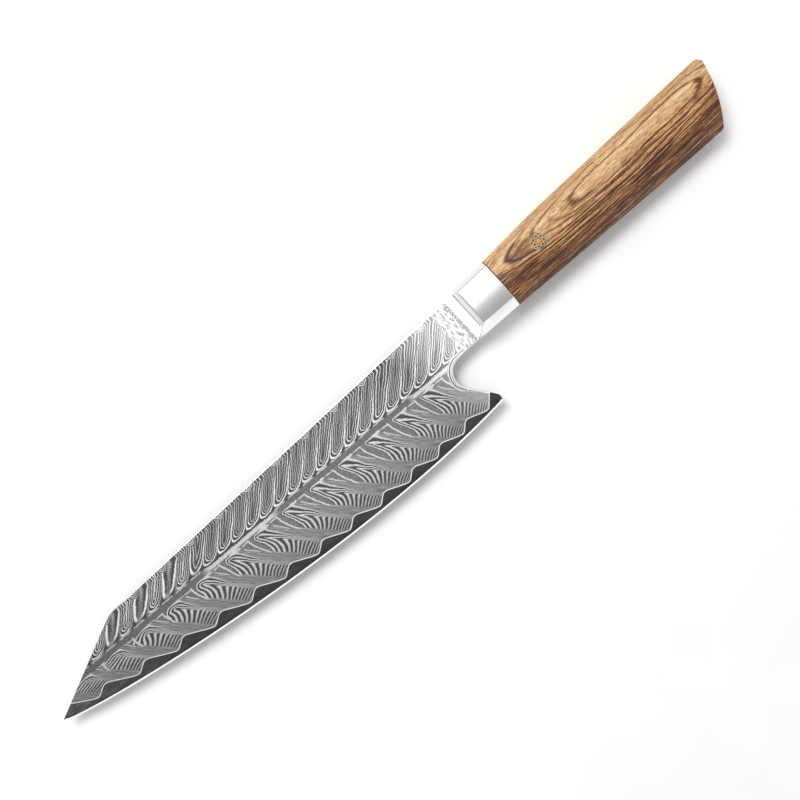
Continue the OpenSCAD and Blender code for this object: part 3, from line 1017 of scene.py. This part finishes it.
def shrink(section, gap):
    """The section moved in by gap all round."""
    pts = np.array(section)
    run = np.roll(pts, -1, axis=0) - np.roll(pts, 1, axis=0)
    length = np.hypot(*run.T)[:, None]
    normal = np.stack([run[:, 1], -run[:, 0]], axis=1) / length
    middle = pts.mean(axis=0)
    if ((pts + normal - middle) ** 2).sum() > ((pts - middle) ** 2).sum():
        normal = -normal
    return [tuple(p) for p in pts + normal * gap]


def loft(rings, caps=(True, True)):
    """Points and faces through rings of equal count, closed at the ends by shrinking rings."""
    count = len(rings[0])
    for end in (0, 1):
        if caps[end]:
            last = np.array(rings[-1] if end else rings[0])
            middle = last.mean(axis=0)
            more = [[tuple(p) for p in middle + (last - middle) * f] for f in CAP_SHARES]
            rings = rings + more if end else more[::-1] + rings
    points = [p for r in rings for p in r]
    faces = []
    for r in range(len(rings) - 1):
        for i in range(count):
            j = (i + 1) % count
            a, b = r * count, (r + 1) * count
            faces.append(((a + i, a + j, b + j, b + i), 0))
    faces.append((tuple(range(count - 1, -1, -1)), 0))
    faces.append((tuple(range(len(points) - count, len(points))), 0))
    return points, faces


def butt_x(y):
    """Where the slanted butt ends at the height y, with its two corners rounded."""
    x = BUTT_C[0] + math.sqrt(BUTT_R**2 - (y - BUTT_C[1]) ** 2)
    top, under = top_y(HANDLE_END), under_y(HANDLE_END - 9)
    for gap, radius in ((top - y, TOP_CORNER_R), (y - under, UNDER_CORNER_R)):
        if gap < radius:
            x -= radius - math.sqrt(radius**2 - (radius - max(0, gap)) ** 2)
    return x


def handle_rings():
    """Rings from the joint to the butt, where they lean over to the slanted cut."""
    rings = []
    eased = [(JOINT_EASE, JOINT_X + 0.005)]
    eased.append((JOINT_EASE * 0.3, JOINT_X + JOINT_EASE * 0.4))
    eased.append((0, JOINT_X + JOINT_EASE * 1.2))
    for gap, x in eased:
        section = shrink(grip_section(top_y(x), under_y(x)), gap)
        rings.append([(x, y, z) for y, z in section])
    lean_from = JOINT_X + LEAN_START
    middle = butt_x(-10)
    straight = np.arange(JOINT_X + 2, lean_from, 2.5)
    leaning = np.linspace(lean_from, middle - BUTT_EASE, 34)
    for x in np.concatenate([straight, leaning]):
        lean = ease((x - lean_from) / (middle - lean_from))
        section = grip_section(top_y(x), under_y(x))
        rings.append([(x + lean * (butt_x(y) - middle), y, z) for y, z in section])
    for turn in (0.35, 0.75, 1.15, 1.571):
        gap = BUTT_EASE * (1 - math.cos(turn))
        section = shrink(grip_section(top_y(middle), under_y(middle)), gap * 0.75)
        rings.append([(butt_x(y) - BUTT_EASE * (1 - math.sin(turn)), y, z) for y, z in section])
    return rings


def pin_cutter():
    """A rod that cuts the mosaic pin's hole."""
    mesh = bpy.data.meshes.new("bore")
    ring = arc((JOINT_X + PIN_SET, -PIN_DROP), PIN_D / 2, 0, math.tau, 96)[:-1]
    points = [at(x, y, z) for z in (-12, 12) for x, y in ring]
    count = len(ring)
    sides = [(i, (i + 1) % count, count + (i + 1) % count, count + i) for i in range(count)]
    ends = [tuple(range(count - 1, -1, -1)), tuple(range(count, 2 * count))]
    mesh.from_pydata(points, [], sides + ends)
    cutter = bpy.data.objects.new("bore", mesh)
    bpy.context.scene.collection.objects.link(cutter)
    return cutter


def build_handle():
    points, faces = loft(handle_rings())
    looks = [wood_material()]
    block = make_piece("handle_wood", points, faces, looks, "handle_block", 40)
    cutter = pin_cutter()
    cut = block.modifiers.new("pin_bore", "BOOLEAN")
    cut.operation = "DIFFERENCE"
    cut.object = cutter
    cut.solver = "EXACT"
    bpy.context.view_layer.update()
    graph = bpy.context.evaluated_depsgraph_get()
    done = bpy.data.meshes.new_from_object(block.evaluated_get(graph))
    block.modifiers.remove(cut)
    block.data = done
    bpy.data.objects.remove(cutter)


def bolster_point(x, y, z):
    """A point of the straight bolster, leant back at the front and swept forward under the neck."""
    near_front = max(0, 1 - (x - BOLSTER_X) / FRONT_RUN)
    back = max(0, (abs(z) - SPINE_T / 2) * math.tan(FRONT_LEAN)) * near_front
    drop = max(0, LIP_TOP - y)
    reach = min(LIP_REACH, 0.35 * drop + 0.28 * drop * drop)
    lip = reach * max(0, 1 - (x - BOLSTER_X) / LIP_RUN) ** 2
    return (x + back - lip, y, z * (1 - 0.75 * ease(lip / LIP_REACH)))


def bolster_stations():
    """Inset and x of the bolster's rings, closest together at its eased edges."""
    end = JOINT_X - GLUE_FILM
    stations = [(0.35, BOLSTER_X + 0.02), (0.12, BOLSTER_X + 0.14)]
    stations += [(0, BOLSTER_X + 0.4), (0, BOLSTER_X + 0.5)]
    stations += [(0, x) for x in np.linspace(BOLSTER_X + 1, end - 0.5, 20)]
    stations += [(0, end - 0.32), (0, end - 0.26), (0.03, end - 0.12), (0.12, end - 0.02), (0.2, end)]
    return stations


def build_bolster():
    rings = []
    whole = grip_section(top_y(BOLSTER_X), under_y(BOLSTER_X))
    middle = sum(y for y, _ in whole) / len(whole)
    front = shrink(whole, 0.5)
    for f in FRONT_SHARES:
        rings.append([bolster_point(BOLSTER_X, mix(middle, y, f), z * f) for y, z in front])
    for gap, x in bolster_stations():
        section = shrink(grip_section(top_y(x), under_y(x)), gap)
        rings.append([bolster_point(x, y, z) for y, z in section])
    points, faces = loft(rings, (False, True))
    looks = [polished_steel()]
    make_piece("bolster_steel", points, faces, looks, "bolster", 40)


# ---------------------------------------------------------------- CAD pieces that stay


def dress(node, material):
    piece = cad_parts[node]
    piece.data.materials.clear()
    piece.data.materials.append(material)


def dress_cad_pieces():
    brass = plain_metal("brass_look", paint(160, 132, 78), paint(206, 180, 124))
    copper = plain_metal("copper_look", paint(164, 98, 72), paint(196, 138, 108))
    nickel = plain_metal("nickel_silver_look", paint(136, 136, 132), paint(178, 176, 172))
    resin = filler("pin_resin_look", paint(20, 17, 15), paint(44, 38, 34))
    glue = filler("adhesive_look", paint(44, 36, 30), paint(70, 58, 48))
    steel = bright_steel("tang_steel_look", 150, 180, 0.45)
    dress("tang", steel)
    dress("tang_adhesive", glue)
    dress("pin_outer_tube", nickel)
    dress("pin_center_tube", copper)
    dress("pin_center_rod", brass)
    dress("pin_resin", resin)
    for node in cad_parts:
        if node.startswith("pin_tube_"):
            dress(node, brass)
        if node.startswith("pin_wire_"):
            dress(node, copper)


# ---------------------------------------------------------------- stage, lights and camera

# The camera looks straight down on the knife, which points up to the right in its picture
PICTURE_TURN = math.radians(43)
CAMERA_OVER = (174.27, -15.53)
CAMERA_H = 416.9
LENS = 50
SENSOR = 36
# In metres: half the floor's width, and the key light's distance and size. Its power is in watts.
FLOOR_HALF = 3.0
KEY_DISTANCE = 0.9
KEY_SIZE = 0.36
KEY_POWER = 5
# Where the key light stands in the picture: to the right, up and toward the viewer
KEY_TOWARD = (-0.33, 0.3, 1)
# Strength of the studio's light all round, how much is added overhead, and on the dark flag and below it
# The limits are heights for overhead, and slopes away from the zenith for the flag and below it.
ROUND_LIGHT = 0.61
OVERHEAD_ADDED = 0.37
FLAG_LIGHT = 0.41
LOW_LIGHT = 1.22
OVERHEAD_FROM = (0.84, 0.93)
FLAG_FROM = (0.14, 0.58)
FLAG_TO = (2.2, 1.5)
LOW_FROM = (1.9, 2.6)


def build_stage():
    mesh = bpy.data.meshes.new("floor")
    corners = [(x * FLOOR_HALF, y * FLOOR_HALF, 0) for x, y in ((-1, -1), (1, -1), (1, 1), (-1, 1))]
    mesh.from_pydata(corners, [], [(0, 1, 2, 3)])
    floor = bpy.data.objects.new("floor", mesh)
    bpy.context.scene.collection.objects.link(floor)
    g = Look("floor_look")
    speck = g.noise(g.x / 30, g.y / 30, 0.0, 2)
    mesh.materials.append(g.finish(g.ramp(speck, [(0.3, grey(0.9)), (0.7, grey(0.92))]), 0.9))


def picture_direction(right, up, toward):
    """A direction given in the picture: to the right, up, and toward the viewer."""
    c, s = math.cos(PICTURE_TURN), math.sin(PICTURE_TURN)
    return Vector((right * c + up * s, -right * s + up * c, toward)).normalized()


def area_light(name, direction, distance, size, power):
    data = bpy.data.lights.new(name, "AREA")
    data.shape = "DISK"
    data.size = size
    data.energy = power
    lamp = bpy.data.objects.new(name, data)
    lamp.location = direction * distance
    lamp.rotation_euler = direction.to_track_quat("Z", "Y").to_euler()
    bpy.context.scene.collection.objects.link(lamp)


def build_world():
    """A studio that polished steel mirrors: bright overhead, a dark flag on the edge's side."""
    world = bpy.data.worlds.new("studio")
    bpy.context.scene.world = world
    world.use_nodes = True
    sky = world.node_tree.nodes["Background"]
    sky.inputs["Color"].default_value = (1, 1, 1, 1)
    g = Graph(world.node_tree, "Generated", (0, 0, 0), 1)
    lean = g.y * -1 / g.most(g.z, 0.05)
    overhead = g.step(g.z, *OVERHEAD_FROM)
    flag = g.step(lean, *FLAG_FROM) * g.step(lean, *FLAG_TO)
    low = g.step(lean, *LOW_FROM)
    light = g.blend(ROUND_LIGHT + OVERHEAD_ADDED * overhead, FLAG_LIGHT, flag)
    light = g.blend(light, LOW_LIGHT, low)
    g.put(sky.inputs["Strength"], light)


def build_camera():
    data = bpy.data.cameras.new("camera")
    data.lens = LENS
    data.sensor_width = SENSOR
    data.clip_start = 0.01
    camera = bpy.data.objects.new("camera", data)
    camera.location = at(CAMERA_OVER[0], CAMERA_OVER[1], CAMERA_H)
    camera.rotation_euler = (0, 0, -PICTURE_TURN)
    bpy.context.scene.collection.objects.link(camera)
    bpy.context.scene.camera = camera


build_stage()
build_world()
area_light("key", picture_direction(*KEY_TOWARD), KEY_DISTANCE, KEY_SIZE, KEY_POWER)
build_camera()
bpy.context.scene.view_settings.view_transform = "Standard"

build_blade()
build_bolster()
build_handle()
dress_cad_pieces()
